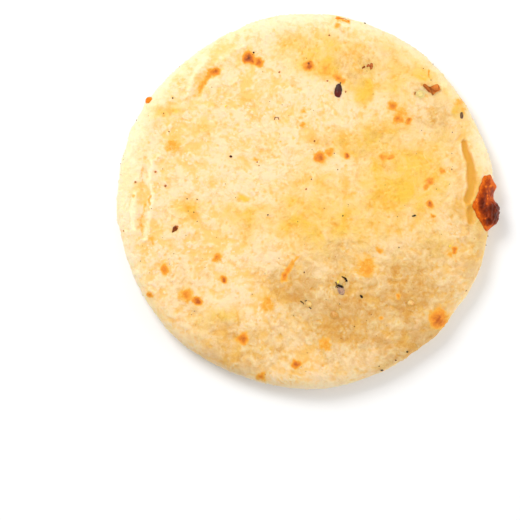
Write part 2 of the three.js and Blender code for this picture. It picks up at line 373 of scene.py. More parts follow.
TOAST_STREAKS = [
    ([(-30.6, 39.8, 1.0), (-32.9, 37.8, 1.2), (-33.8, 35.8, 0.9)], 0.42),
    ([(-33.8, 35.8, 0.9), (-35.2, 33.4, 1.1)], 0.26),
    ([(-2.3, -17.9, 0.8), (-5.2, -21.1, 0.8)], 0.38),
    ([(-5.2, -21.1, 0.8), (-6.8, -24.8, 1.1)], 0.5),
    ([(-51.4, 9.8, 0.4), (-52.3, 5.5, 0.3)], 0.24),
    ([(-51.2, -0.8, 0.5), (-51.5, -3.0, 0.6), (-52.6, -6.0, 0.6), (-52.2, -11.0, 0.5)], 0.28),
    ([(-56.3, 1.0, 0.4), (-56.3, -2.0, 0.3), (-55.9, -7.7, 0.3)], 0.24),
    ([(-49.4, 1.4, 0.25), (-49.5, -0.6, 0.4)], 0.36),
    ([(-50.2, -1.4, 0.3), (-50.3, -2.6, 0.3)], 0.34),
    ([(-49.0, -11.8, 0.7), (-48.8, -13.6, 0.5)], 0.34),
    ([(39.3, 41.4, 0.3), (39.5, 39.6, 0.35)], 0.5),
    ([(11.4, 58.4, 0.4), (13.7, 57.3, 0.5)], 0.42),
]

# Where butter has soaked in and the dough shows through yellow: place, half sizes, turn and level.
BUTTER_PATCHES = [
    (8.0, 41.5, 8.0, 5.0, -20, 0.9),
    (17.0, 36.0, 5.0, 4.5, 0, 0.9),
    (16.0, 17.5, 11.0, 3.6, 0, 0.8),
    (24.0, 9.0, 7.0, 4.0, -40, 0.8),
    (32.0, 3.0, 7.5, 5.0, -40, 0.85),
    (37.0, -4.0, 5.0, 5.5, 0, 0.75),
    (24.0, -2.0, 6.0, 4.0, 0, 0.55),
    (-3.0, -8.0, 9.5, 5.5, 0, 0.8),
    (-5.0, 0.0, 5.0, 3.5, 30, 0.65),
    (-39.0, -3.5, 5.0, 4.5, 0, 0.7),
    (-43.0, 28.5, 9.0, 2.6, 8, 0.6),
    (-30.0, 26.0, 4.0, 2.0, 20, 0.5),
    (-46.0, 27.5, 3.5, 2.5, 0, 0.6),
    (53.5, -11.0, 3.0, 7.0, 0, 0.5),
    (-19.5, 1.4, 1.6, 1.6, 0, 1.0),
    (32.0, 6.0, 22.0, 24.0, 0, 0.74),
    (10.0, -6.0, 24.0, 18.0, 0, 0.7),
    (-18.0, -6.0, 9.0, 6.0, 0, 0.7),
    (6.0, 45.0, 13.0, 7.0, -15, 0.7),
    (24.0, 42.0, 18.0, 12.0, -25, 0.66),
    (42.0, 36.0, 10.0, 10.0, 0, 0.6),
    (18.0, 19.0, 13.0, 6.0, 0, 0.8),
    (42.0, -13.0, 10.0, 12.0, 0, 0.5),
    (38.5, 40.5, 4.5, 4.0, 0, 0.9),
    (49.0, 30.0, 3.0, 5.0, 0, 1.0),
    (26.0, -20.0, 20.0, 8.0, 0, 0.5),
    (56.0, -10.0, 6.0, 26.0, 0, 0.75),
    (-28.0, -38.0, 8.0, 5.0, 20, 0.7),
    (-5.0, -40.0, 5.0, 6.0, 0, 0.5),
]

# Where the crust is duller and more tan: place, half sizes, turn and level. The broad patches over the lower
# right are partly the crust's own baked tan and partly painted shade on the side away from the upper-left
# light.
TAN_AND_SHADE_PATCHES = [
    (14.0, -36.0, 20.0, 17.0, 0, 0.8),
    (34.0, -31.0, 17.0, 17.0, 0, 0.8),
    (13.0, -18.0, 16.0, 6.0, 0, 0.5),
    (34.0, -47.0, 18.0, 13.0, 0, 0.8),
    (-3.0, -30.0, 10.0, 10.0, 0, 0.8),
    (43.0, 26.0, 9.0, 8.0, 0, 0.5),
    (18.0, 19.0, 14.0, 5.0, 0, 0.3),
    (44.0, -42.0, 9.0, 9.0, 0, 0.9),
    (42.0, -16.0, 11.0, 7.0, 0, 0.4),
    # This small patch paints the shade round the large kernel's dome.
    (35.8, 33.2, 2.8, 2.6, 0, 0.6),
    (11.8, 54.2, 1.6, 1.2, 0, 0.5),
    (18.0, 43.0, 9.0, 5.0, 0, 0.5),
    (26.0, 47.0, 8.0, 6.0, 0, 0.2),
    (54.0, -18.0, 9.0, 20.0, 0, 0.6),
    (-20.0, -48.0, 22.0, 10.0, 0, 0.6),
    (-38.0, -30.0, 8.0, 12.0, 0, 0.35),
]


# A spot is dark at its core and faint in the halo round it, both as shares of its radius and level.
SPOT_CORE_WIDTH = 0.78
SPOT_HALO_WIDTH = 1.6
SPOT_HALO_LEVEL = 0.32
STREAK_HALO_WIDTH = 2
STREAK_HALO_LEVEL = 0.3


def toasted_at(x, y, spots, streaks):
    level = np.zeros(np.shape(x))
    for at_x, at_y, radius, amount in spots:
        away = np.hypot(x - at_x, y - at_y)
        level = np.maximum(level, amount * bell(away, SPOT_CORE_WIDTH * radius))
        level = np.maximum(level, SPOT_HALO_LEVEL * amount * bell(away, SPOT_HALO_WIDTH * radius))
    for path, amount in streaks:
        widths_off = widths_from_path(x, y, path)
        level = np.maximum(level, amount * bell(widths_off, 1))
        level = np.maximum(level, STREAK_HALO_LEVEL * amount * bell(widths_off, STREAK_HALO_WIDTH))
    return level


def patched_at(x, y, patches):
    level = np.zeros(np.shape(x))
    for at_x, at_y, half_length, half_breadth, turn, amount in patches:
        turned = math.radians(turn)
        along = (x - at_x) * math.cos(turned) + (y - at_y) * math.sin(turned)
        across = (y - at_y) * math.cos(turned) - (x - at_x) * math.sin(turned)
        level = np.maximum(level, amount * bell(np.hypot(along / half_length, across / half_breadth), 0.8))
    return level


# The noise that moves edges about is seeded, because it would otherwise differ with every run.
WANDER_SEED = 5
noise.seed_set(WANDER_SEED)


def pushed_about(points, wander):
    """Places in plan after a noise has moved them, which gives what is drawn there a ragged edge. wander
    holds the size of the noise's blotches and how far it moves things, coarse before fine."""
    moved = points[:, :2].copy()
    for size, reach in wander:
        moved += reach * np.array([noise.noise_vector(Vector(p / size))[:2] for p in points])
    return moved.T


def set_attribute(piece, name, values):
    layer = piece.data.attributes.new(name, "FLOAT", "POINT")
    layer.data.foreach_set("value", np.asarray(values, dtype=np.float32))


# The underside lay on the griddle too, so it has its own chance spots.
UNDERSIDE_SEED = 7
UNDERSIDE_SPOT_COUNT = 46
UNDERSIDE_SPOT_REACH = 54
chance = np.random.default_rng(UNDERSIDE_SEED)
underside_spots = []
for spot in range(UNDERSIDE_SPOT_COUNT):
    heading = chance.uniform(0, 2 * math.pi)
    distance = UNDERSIDE_SPOT_REACH * math.sqrt(chance.uniform())
    place = (distance * math.cos(heading), distance * math.sin(heading))
    underside_spots.append((*place, chance.uniform(1.0, 4.2), chance.uniform(0.3, 0.85)))

# How the edges of spots, of patches and of what bakes paler wander: blotch size and reach.
SPOT_WANDER = [(3.0, 0.9), (1.2, 0.45)]
PATCH_WANDER = [(9.0, 4.0), (2.6, 1.4)]
PALE_WANDER = [(2.6, 0.7)]
UNDERSIDE_TAN = 0.6
BUTTER_LOST_IN_TAN = 0.6
PALENESS_LOST_IN_TAN = 0.75
PALE_RIM_START = 51
PALE_RIM_WIDTH = 8

# What belongs to the top fades in from one height, and what belongs to the underside fades out.
points = np.array([v.co for v in cake.data.vertices]) / MM - cake_middle
upper = np.clip((points[:, 2] - 2) / 4, 0, 1)
lower = np.clip((2.5 - points[:, 2]) / 2, 0, 1)
x, y = pushed_about(points, SPOT_WANDER)
toast = upper * toasted_at(x, y, TOAST_SPOTS, TOAST_STREAKS)
set_attribute(cake, "toast", toast + lower * toasted_at(x, y, underside_spots, []))
x, y = pushed_about(points, PATCH_WANDER)
# Tan is the baked tan of the crust and of the underside, with painted shade over the lower right of the top.
tan_and_shade = np.clip(upper * patched_at(x, y, TAN_AND_SHADE_PATCHES) + UNDERSIDE_TAN * lower, 0, 1)
butter = upper * patched_at(x, y, BUTTER_PATCHES)
set_attribute(cake, "tan_and_shade", tan_and_shade)
set_attribute(cake, "butter", butter * (1 - BUTTER_LOST_IN_TAN * tan_and_shade))

# Ridges, the edges of blisters, the left rim and the outer rim are painted paler than what lies round them:
# a painted highlight where light catches them, and on the outer rim also the crust's own paler bake.
x, y = pushed_about(points, PALE_WANDER)
ridge = 0
for path, fold_height, squareness in FOLDS.values():
    ridge = ridge + max(fold_height, 0) * bell(widths_from_path(x, y, path), 0.8)
blister_edge_highlight = 0
for at_x, at_y, radius, rise in BLISTERS:
    blister_edge_highlight = blister_edge_highlight + rise * bell(np.hypot(x - at_x, y - at_y) - radius, 0.35)
left_rim_highlight = bell(np.hypot((x + 55) / 4.5, (y - 7) / 13), 1, 3)
paleness_and_highlight = np.clip((np.hypot(x, y) - PALE_RIM_START) / PALE_RIM_WIDTH, 0, 1)
paleness_and_highlight = paleness_and_highlight + upper * (1.4 * ridge + 1.6 * blister_edge_highlight + 0.35 * left_rim_highlight)
set_attribute(cake, "rim", paleness_and_highlight * (1 - PALENESS_LOST_IN_TAN * tan_and_shade))

# The floor of the open cracks is smoother than the crust, and so is the flat underside.
OPEN_CRACKS = {"crack under the flap": 8, "second crack": 6}
CRACK_REACH = 1.1
x, y = points[:, 0], points[:, 1]
crack = 0
for name, squareness in OPEN_CRACKS.items():
    crack = np.maximum(crack, bell(widths_from_path(x, y, FOLDS[name][0]), CRACK_REACH, squareness))
set_attribute(cake, "crack", upper * crack)
set_attribute(cake, "rough", np.where(points[:, 2] > 0.01, 1.0, 0.5) * (1 - 0.7 * upper * crack))


def colour(code):
    """A hex sRGB colour as the linear values that shaders take."""
    parts = [int(code[i : i + 2], 16) / 255 for i in (1, 3, 5)]
    return [*(p / 12.92 if p <= 0.04045 else ((p + 0.055) / 1.055) ** 2.4 for p in parts), 1.0]


def add_node(tree, kind, inputs=None, stops=None, **settings):
    """Adds a node. inputs hold a value or another node's socket each, stops are a ramp's places and
    colours, and settings are the node's own properties."""
    made = tree.nodes.new(kind)
    for name, value in settings.items():
        setattr(made, name, value)
    for key, value in (inputs or {}).items():
        if isinstance(value, bpy.types.NodeSocket):
            tree.links.new(value, made.inputs[key])
        else:
            made.inputs[key].default_value = value
    if stops:
        elements = made.color_ramp.elements
        elements.remove(elements[1])
        elements[0].position, elements[0].color = stops[0][0], colour(stops[0][1])
        for position, code in stops[1:]:
            elements.new(position).color = colour(code)
    return made


def new_material(name):
    material = bpy.data.materials.new(name)
    material.use_nodes = True
    material.node_tree.nodes.clear()
    return material, material.node_tree


def finished(material, levels):
    """The material with its surface made, from a value or another node's socket for each level."""
    shader = add_node(material.node_tree, "ShaderNodeBsdfPrincipled", levels)
    add_node(material.node_tree, "ShaderNodeOutputMaterial", {"Surface": shader.outputs[0]})
    return material


def blotches(tree, size_mm, detail=2.0, distortion=0.0, roughness=0.5):
    """Socket of a pattern about none, whose largest blotches are this many millimetres across."""
    levels = {
        "Vector": add_node(tree, "ShaderNodeTexCoord").outputs["Object"],
        "Scale": 1 / (size_mm * MM),
        "Detail": detail,
        "Distortion": distortion,
        "Roughness": roughness,
    }
    pattern = add_node(tree, "ShaderNodeTexNoise", levels).outputs[0]
    return add_node(tree, "ShaderNodeMath", {0: pattern, 1: 0.5}, operation="SUBTRACT").outputs[0]


def summed(tree, level, *parts):
    """Socket of a level with parts added, each given as a socket and its weight."""
    for part, weight in parts:
        levels = {0: part, 1: weight, 2: level}
        level = add_node(tree, "ShaderNodeMath", levels, operation="MULTIPLY_ADD").outputs[0]
    return level


def laid_over(tree, skin, layer, follows, start, full, strongest=1.0, blend="MIX"):
    """Socket of a skin under a layer of colour that sets in as what it follows goes from start to full."""
    levels = {"Value": follows, 1: start, 2: full, 3: 0.0, 4: strongest}
    share = add_node(tree, "ShaderNodeMapRange", levels, interpolation_type="SMOOTHSTEP").outputs[0]
    levels = {0: share, 6: skin, 7: layer}
    return add_node(tree, "ShaderNodeMix", levels, data_type="RGBA", blend_type=blend).outputs[2]


def finely_bumped(tree, size_mm, height_mm, detail=2.0, distortion=0.0, strength=1.0):
    """Socket of normals for bumps too fine for the mesh, by their size and height in millimetres."""
    levels = {
        "Height": blotches(tree, size_mm, detail, distortion),
        "Distance": height_mm * MM,
        "Strength": strength,
    }
    return add_node(tree, "ShaderNodeBump", levels).outputs[0]


# Baked masa: ground corn that was cooked, kneaded and patted. The dry skin is pale cream with a fine wormy
# mottling, yellow where butter has soaked in and tan where it has dried, and it scatters light. Its colour
# also holds painted light: shade in the low places of its fine relief and over the lower right, and a
# highlight on its rim, ridges and blister edges.
MASA_CREAM = colour("#fadaae")
# The baked and tan colours follow the tan patches, so they also paint shade over the lower right.
MASA_BAKED_AND_SHADED = colour("#e3cb90")
MASA_TAN_AND_SHADE = colour("#d4a258")
# The rim colour is a painted highlight, and on the outer rim also the crust's own paler bake.
MASA_RIM_HIGHLIGHT = colour("#feedc8")
CRACK_FLOOR = colour("#e4a838")
# Yellowing is partly the mottle's own tone and partly painted shade, deepest where the fine relief lies low.
YELLOWING_AND_HOLLOW_SHADE = colour("#ffeaaa")
DULLING = colour("#f8e9c6")
BUTTERING = colour("#f5e366")
TOAST_COLOURS = [(0.0, "#f6cc70"), (0.28, "#f0b23a"), (0.5, "#ea8f1c"), (0.75, "#c4600c"), (1.0, "#6c2e08")]


def baked_masa():
    material, tree = new_material("baked masa")
    read = {
        name: add_node(tree, "ShaderNodeAttribute", attribute_name=name).outputs["Fac"]
        for name in ("toast", "butter", "crack", "tan_and_shade", "rim", "lift")
    }
    ragged = blotches(tree, 1.4, 3.0, 0.3, 0.6)
    cloudy = blotches(tree, 6.0, 5.0, 0.5, 0.7)
    mottled = blotches(tree, 7.0, 6.0, 0.8, 0.8)
    curdled = blotches(tree, 2.8, 5.0, 0.6, 0.7)
    dull = blotches(tree, 4.5, 4.0, 0.4, 0.7)
    # Tan follows the tan patches and is partly painted shade over the lower right.
    tanned_and_shaded = summed(tree, read["tan_and_shade"], (cloudy, 0.3), (curdled, 1.9))
    # Yellowing deepens where the relief lies low: painted shade in its hollows.
    yellowed_and_hollow_shaded = summed(tree, mottled, (read["lift"], -0.5), (read["butter"], -0.25))
    buttered = summed(tree, read["butter"], (cloudy, 1.1))
    # Paleness is a painted highlight on the rim, ridges and blister edges.
    paled_and_highlighted = summed(tree, read["rim"], (cloudy, 0.8), (curdled, 1.4))
    unevenly = summed(tree, 1.0, (ragged, 0.7))
    toasted = summed(tree, 0.0, (read["toast"], unevenly), (cloudy, 0.25), (ragged, 0.25))

    levels = {0: read["tan_and_shade"], 6: MASA_CREAM, 7: MASA_BAKED_AND_SHADED}
    skin = add_node(tree, "ShaderNodeMix", levels, data_type="RGBA").outputs[2]
    skin = laid_over(tree, skin, MASA_TAN_AND_SHADE, tanned_and_shaded, 0.15, 1.15)
    skin = laid_over(tree, skin, YELLOWING_AND_HOLLOW_SHADE, yellowed_and_hollow_shaded, -0.45, 0.05, blend="MULTIPLY")
    skin = laid_over(tree, skin, DULLING, dull, 0.0, 0.2, blend="MULTIPLY")
    skin = laid_over(tree, skin, BUTTERING, buttered, 0.1, 0.9, blend="MULTIPLY")
    skin = laid_over(tree, skin, MASA_RIM_HIGHLIGHT, paled_and_highlighted, 0.3, 1.3, strongest=0.65)
    levels = {0: read["crack"], 6: skin, 7: CRACK_FLOOR}
    skin = add_node(tree, "ShaderNodeMix", levels, data_type="RGBA").outputs[2]
    toast_colour = add_node(tree, "ShaderNodeValToRGB", {0: toasted}, stops=TOAST_COLOURS).outputs[0]
    skin = laid_over(tree, skin, toast_colour, toasted, 0.1, 0.36)

    # Dry masa is matt, and butter gives it a satin skin.
    levels = {"Value": buttered, 1: 0.15, 2: 0.9, 3: 0.62, 4: 0.42}
    dryness = add_node(tree, "ShaderNodeMapRange", levels, interpolation_type="SMOOTHSTEP")
    return finished(
        material,
        {
            "Base Color": skin,
            "Roughness": dryness.outputs[0],
            "Normal": finely_bumped(tree, 0.7, 0.3, detail=3.0, distortion=0.8, strength=0.9),
            "Subsurface Weight": 0.6,
            "Subsurface Radius": (1.0, 0.6, 0.25),
            "Subsurface Scale": 1.8 * MM,
            "Specular IOR Level": 0.35,
        },
    )


# Unevenness of the dough by kind: how large it is and how high, in millimetres.
DOUGH_UNEVENNESS = {
    "Pat mark": (9.0, 0.6),
    "Lump": (2.7, 0.55),
    "Grain": (1.1, 0.38),
    "Worm": (2.2, 0.3),
    "Pit": (2.1, 0.22),
}
# The height of lift that the skin's colour takes as its whole range: the colour paints shade where the dough
# lies low.
LIFT_RANGE = 0.3


def new_tree(name, input_names):
    """An empty node tree that takes and gives geometry, with named numbers, and the sockets it reads."""
    tree = bpy.data.node_groups.new(name, "GeometryNodeTree")
    tree.interface.new_socket("Geometry", in_out="INPUT", socket_type="NodeSocketGeometry")
    tree.interface.new_socket("Geometry", in_out="OUTPUT", socket_type="NodeSocketGeometry")
    for input_name in input_names:
        tree.interface.new_socket(input_name, in_out="INPUT", socket_type="NodeSocketFloat")
    return tree, add_node(tree, "NodeGroupInput").outputs


def end_tree(tree, geometry, material):
    realized = add_node(tree, "GeometryNodeRealizeInstances", {0: geometry})
    given = add_node(tree, "GeometryNodeSetMaterial", {0: realized.outputs[0], "Material": material})
    add_node(tree, "NodeGroupOutput", {0: given.outputs[0]})


def pushed_out(tree, geometry, height):
    """Socket of geometry whose points have all moved out of its skin by a height."""
    normal = add_node(tree, "GeometryNodeInputNormal").outputs[0]
    offset = add_node(tree, "ShaderNodeVectorMath", {0: normal, "Scale": height}, operation="SCALE")
    levels = {"Geometry": geometry, "Offset": offset.outputs[0]}
    return add_node(tree, "GeometryNodeSetPosition", levels).outputs[0]


def dough_relief(material):
    names = [f"{kind} {part}" for kind in DOUGH_UNEVENNESS for part in ("size", "height")]
    tree, read = new_tree("dough relief", names)
    scale = {}
    for kind in DOUGH_UNEVENNESS:
        levels = {0: 1.0, 1: read[f"{kind} size"]}
        scale[kind] = add_node(tree, "ShaderNodeMath", levels, operation="DIVIDE").outputs[0]

    lift = 0.0
    for kind, detail in (("Pat mark", 1.0), ("Lump", 1.5), ("Grain", 1.0)):
        levels = {"Scale": scale[kind], "Detail": detail, "Distortion": 0.4}
        pattern = add_node(tree, "ShaderNodeTexNoise", levels).outputs[0]
        swell = add_node(tree, "ShaderNodeMath", {0: pattern, 1: 0.5}, operation="SUBTRACT").outputs[0]
        lift = summed(tree, lift, (swell, read[f"{kind} height"]))

    # Worms are thin ridges where a winding noise crosses its middle, and only here and there.
    levels = {"Scale": scale["Worm"], "Detail": 0.0, "Distortion": 1.2}
    winding = add_node(tree, "ShaderNodeTexNoise", levels).outputs[0]
    crossing = add_node(tree, "ShaderNodeMath", {0: winding, 1: 0.5}, operation="SUBTRACT").outputs[0]
    crossing = add_node(tree, "ShaderNodeMath", {0: crossing}, operation="ABSOLUTE").outputs[0]
    levels = {"Value": crossing, 1: 0.0, 2: 0.06, 3: 1.0, 4: 0.0}
    ridge = add_node(tree, "ShaderNodeMapRange", levels, interpolation_type="SMOOTHSTEP").outputs[0]
    levels = {"Scale": 1 / (4.0 * MM), "Detail": 1.0}
    here = add_node(tree, "ShaderNodeTexNoise", levels).outputs[0]
    levels = {"Value": here, 1: 0.48, 2: 0.6, 3: 0.0, 4: 1.0}
    present = add_node(tree, "ShaderNodeMapRange", levels, interpolation_type="SMOOTHSTEP").outputs[0]
    ridge = summed(tree, 0.0, (ridge, present))

    cells = add_node(tree, "ShaderNodeTexVoronoi", {"Scale": scale["Pit"]}).outputs["Distance"]
    levels = {"Value": cells, 1: 0.05, 2: 0.34, 3: -1.0, 4: 0.0}
    hole = add_node(tree, "ShaderNodeMapRange", levels, interpolation_type="SMOOTHSTEP").outputs[0]
    lift = summed(tree, lift, (ridge, read["Worm height"]), (hole, read["Pit height"]))

    # The lift is stored for the skin's colour, which paints shade where the dough lies low.
    lift_shown_as_shade = summed(tree, 0.5, (lift, 1 / (LIFT_RANGE * MM)))
    levels = {"Geometry": read["Geometry"], "Name": "lift", "Value": lift_shown_as_shade}
    stored = add_node(tree, "GeometryNodeStoreNamedAttribute", levels, data_type="FLOAT").outputs[0]
    rough = add_node(tree, "GeometryNodeInputNamedAttribute", {"Name": "rough"}, data_type="FLOAT")
    moved = pushed_out(tree, stored, summed(tree, 0.0, (lift, rough.outputs[0])))
    # Nothing reaches below the flat face that the cake lies on.
    place = add_node(tree, "GeometryNodeInputPosition").outputs[0]
    above = add_node(tree, "ShaderNodeVectorMath", {0: place, 1: (-1.0, -1.0, 0.0)}, operation="MAXIMUM")
    levels = {"Geometry": moved, "Position": above.outputs[0]}
    end_tree(tree, add_node(tree, "GeometryNodeSetPosition", levels).outputs[0], material)
    return tree


def bake(piece):
    """Keeps what the piece's modifiers make of it as its plain mesh."""
    graph = bpy.context.evaluated_depsgraph_get()
    made = bpy.data.meshes.new_from_object(
        piece.evaluated_get(graph), preserve_all_data_layers=True, depsgraph=graph
    )
    piece.modifiers.clear()
    piece.data = made
    made.name = piece.name
    made.shade_smooth()


def apply_tree(piece, tree, values):
    """Runs a node tree on the piece, with its inputs given by name, and bakes the result."""
    modifier = piece.modifiers.new(tree.name, "NODES")
    modifier.node_group = tree
    for item in tree.interface.items_tree:
        if item.in_out == "INPUT" and item.name in values:
            modifier[item.identifier] = values[item.name]
    bake(piece)


dough_values = {}
for kind, (size, height) in DOUGH_UNEVENNESS.items():
    dough_values[f"{kind} size"] = size * MM
    dough_values[f"{kind} height"] = height * MM
apply_tree(cake, dough_relief(baked_masa()), dough_values)
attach(cake, "root")
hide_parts("corn_cake")


# ---- The toasted cheese --------------------------------------------------------------------------
# Cheese that melted out of the dough, ran over the rim and fried dark on the griddle. It sticks to
# the crust as a thin lumpy scab: orange and thin at its edge, maroon and bubbled where it is thick.

CHEESE_ALONG = -0.8
CHEESE_HALF_LENGTH = 9.2
CHEESE_TILT = 38
CHEESE_HALF_TILT = 47
CHEESE_EDGE = 0.5
CHEESE_SUNK = 0.15
CHEESE_SPACING = 0.25
CHEESE_RINGS = 36
CHEESE_EDGE_WAVER = 0.09

# Its edge and lumps are the solid's: direction, spread and share of its size, then place along the
# rim, half length, tilt, half tilt and height.
CHEESE_EDGE_BULGES = [
    (20, 12, 0.05),
    (58, 14, -0.13),
    (97, 8, 0.21),
    (130, 18, -0.07),
    (157, 12, -0.14),
    (192, 10, 0.05),
    (284, 16, -0.42),
]
CHEESE_LUMPS = [
    (4.6, 1.1, 6, 16, 1.3),
    (5.6, 1.8, 46, 18, 0.5),
    (-2.4, 1.8, 8, 26, 1.9),
    (-5.6, 1.6, 14, 24, 1.4),
    (-7.3, 1.2, 14, 22, 1.1),
    (-0.9, 1.9, 70, 16, 0.6),
    (-4.6, 1.5, 50, 16, 0.5),
]

# How brown the cheese has fried, over a golden ground: place in plan, half sizes, turn and level.
FRIED_PATCHES = [
    (58.3, 5.8, 1.3, 2.2, 0, 0.47),
    (57.5, 2.2, 1.9, 3.4, 0, 0.6),
    (59.6, 2.8, 1.3, 2.6, 0, 0.56),
    (56.3, -0.9, 1.4, 3.2, 0, 0.84),
    (57.4, -3.2, 1.9, 2.6, 0, 0.78),
    (59.6, -2.6, 2.2, 2.6, 0, 0.9),
    (60.4, -5.0, 2.0, 3.0, 0, 0.98),
    (58.6, -6.4, 2.2, 1.5, 0, 0.9),
    (61.6, -2.5, 1.6, 3.5, 0, 0.85),
    (54.2, -2.2, 1.0, 1.6, 0, 0.36),
]
# Golden flecks left unbrowned along the middle of the scab: painted highlights on the greasy cheese. Place,
# half sizes, turn and level.
GOLDEN_HIGHLIGHT_FLECKS = [
    (57.5, 4.4, 0.24, 0.24, 0, 1.0),
    (59.0, 4.8, 0.45, 0.2, 25, 1.0),
    (57.8, 2.8, 0.2, 0.25, 0, 0.8),
    (57.9, 1.7, 0.2, 0.4, 0, 0.8),
    (58.0, 0.6, 0.24, 0.3, 0, 0.8),
    (57.7, -1.0, 0.16, 0.4, 30, 0.6),
    (57.3, -5.6, 0.35, 0.25, 0, 0.6),
]


def cheese_points(direction, share, outside):
    waver = [noise.noise(Vector((3 * math.cos(d), 3 * math.sin(d), 0))) for d in direction]
    reach = share * (1 + bulge(direction, CHEESE_EDGE_BULGES) + CHEESE_EDGE_WAVER * np.array(waver))
    along = CHEESE_ALONG + CHEESE_HALF_LENGTH * reach * np.cos(direction)
    tilt = CHEESE_TILT + CHEESE_HALF_TILT * reach * np.sin(direction)
    thickness = CHEESE_EDGE
    for at_along, half_length, at_tilt, half_tilt, height in CHEESE_LUMPS:
        lump_here = bell(along - at_along, half_length) * bell(tilt - at_tilt, half_tilt)
        thickness = thickness + height * lump_here
    thickness = thickness * (1 - share**8) ** 0.5
    lift = np.where(outside, thickness, 0) - CHEESE_SUNK
    return rim_points(along / CAKE_RADIUS, np.radians(tilt), lift)


def cheese_rings():
    """Rings over the outside of the scab to its edge, and half as many back in against the crust."""
    outer = [(step, True) for step in range(CHEESE_RINGS + 1)]
    inner = [(step, False) for step in range(CHEESE_RINGS - 1, -1, -2)]
    rings = []
    for step, outside in outer + inner:
        share = step / CHEESE_RINGS
        radius = 0.8 * CHEESE_HALF_LENGTH * share
        rings.append(ring(CHEESE_SPACING, radius, lambda a: cheese_points(a, share, outside)))
    return rings


FRIED_COLOURS = [(0.0, "#f0982a"), (0.2, "#de680e"), (0.42, "#a83e06"), (0.68, "#6e2006"), (0.95, "#460e04")]


def fried_cheese():
    """Semi-hard cheese fried in its own fat: it browns from gold to maroon, and its skin is greasy."""
    material, tree = new_material("fried cheese")
    fried = add_node(tree, "ShaderNodeAttribute", attribute_name="fried").outputs["Fac"]
    browned = summed(tree, fried, (blotches(tree, 0.9, 3.0, 0.6, 0.6), 0.6))
    levels = {"Value": browned, 1: 0.2, 2: 0.9, 3: 0.5, 4: 0.36}
    greasiness = add_node(tree, "ShaderNodeMapRange", levels, interpolation_type="SMOOTHSTEP")
    return finished(
        material,
        {
            "Base Color": add_node(
                tree, "ShaderNodeValToRGB", {0: browned}, stops=FRIED_COLOURS
            ).outputs[0],
            "Roughness": greasiness.outputs[0],
            "Specular IOR Level": 0.3,
            "Specular Tint": (1.0, 0.5, 0.3, 1.0),
            "Normal": finely_bumped(tree, 0.35, 0.1, strength=0.6),
            "Subsurface Weight": 0.15,
            "Subsurface Radius": (1.0, 0.35, 0.1),
            "Subsurface Scale": 1.2 * MM,
        },
    )


BUBBLE_SIZE = 1.1
BUBBLE_HEIGHT = 0.3


def cheese_bubbles(material):
    tree, read = new_tree("cheese bubbles", ["Bubble size", "Bubble height"])
    levels = {0: 1.0, 1: read["Bubble size"]}
    scale = add_node(tree, "ShaderNodeMath", levels, operation="DIVIDE").outputs[0]
    levels = {"Scale": scale, "Smoothness": 0.5}
    cells = add_node(tree, "ShaderNodeTexVoronoi", levels, feature="SMOOTH_F1").outputs["Distance"]
    levels = {"Value": cells, 1: 0.1, 2: 0.8, 3: 1.0, 4: -0.6}
    swell = add_node(tree, "ShaderNodeMapRange", levels, interpolation_type="SMOOTHSTEP").outputs[0]
    # The cheese bubbles most where it has fried longest.
    fried = add_node(tree, "GeometryNodeInputNamedAttribute", {"Name": "fried"}, data_type="FLOAT")
    levels = {"Value": fried.outputs[0], 1: 0.3, 2: 0.9, 3: 0.2, 4: 1.0}
    bubbled = add_node(tree, "ShaderNodeMapRange", levels, interpolation_type="SMOOTHSTEP").outputs[0]
    lift = summed(tree, 0.0, (summed(tree, 0.0, (swell, bubbled)), read["Bubble height"]))
    end_tree(tree, pushed_out(tree, read["Geometry"], lift), material)
    return tree


cheese = mesh_piece("cheese_scab", *stitched(cheese_rings()))
points = np.array([v.co for v in cheese.data.vertices]) / MM - cake_middle
x, y = pushed_about(points, [(1.2, 0.3)])
# The golden flecks are painted highlights on the grease.
fried = np.maximum(0.25, patched_at(x, y, FRIED_PATCHES)) * (1 - patched_at(x, y, GOLDEN_HIGHLIGHT_FLECKS))
set_attribute(cheese, "fried", fried)
cheese_skin = fried_cheese()
bubble_values = {"Bubble size": BUBBLE_SIZE * MM, "Bubble height": BUBBLE_HEIGHT * MM}
apply_tree(cheese, cheese_bubbles(cheese_skin), bubble_values)
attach(cheese, "root")
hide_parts("toasted_cheese")


# ---- The cheese beads ----------------------------------------------------------------------------
# Small drops of the same cheese that oozed out of the rim and fried to a golden orange where they
# touched the griddle: one round bead on the left, and a drop with a thin run beside it at the top.

# Place, half length, half breadth, half height, heading in degrees, and how brown it has fried.
CHEESE_BEADS = [
    (-50.0, 32.1, 1.35, 1.2, 1.6, 52, 0.12),
    (10.4, 58.3, 0.95, 0.55, 0.55, 5, 0.12),
    (12.2, 58.2, 1.1, 0.28, 0.3, -8, 0.3),
    (13.8, 57.5, 0.55, 0.4, 0.35, -40, 0.12),
]

crust = BVHTree.FromObject(cake, bpy.context.evaluated_depsgraph_get())


def crust_at(x, y, reach):
    """Mean place and outward direction of the crust round a point in plan, as far as a reach, in mm.

    A point beyond the outline gets the nearest place on the rim."""
    places = []
    normals = []
    for turn in range(6):
        step_x = reach * math.cos(turn * math.pi / 3)
        step_y = reach * math.sin(turn * math.pi / 3)
        above = Vector(cake_middle + [x + step_x, y + step_y, 3 * CAKE_THICKNESS]) * MM
        place, normal, _, _ = crust.ray_cast(above, Vector((0, 0, -1)))
        if place is None:
            place, normal, _, _ = crust.find_nearest(above - Vector((0, 0, 2.5 * CAKE_THICKNESS * MM)))
        places.append(np.array(place) / MM - cake_middle)
        normals.append(np.array(normal))
    return np.mean(places, axis=0), Vector(np.mean(normals, axis=0)).normalized()


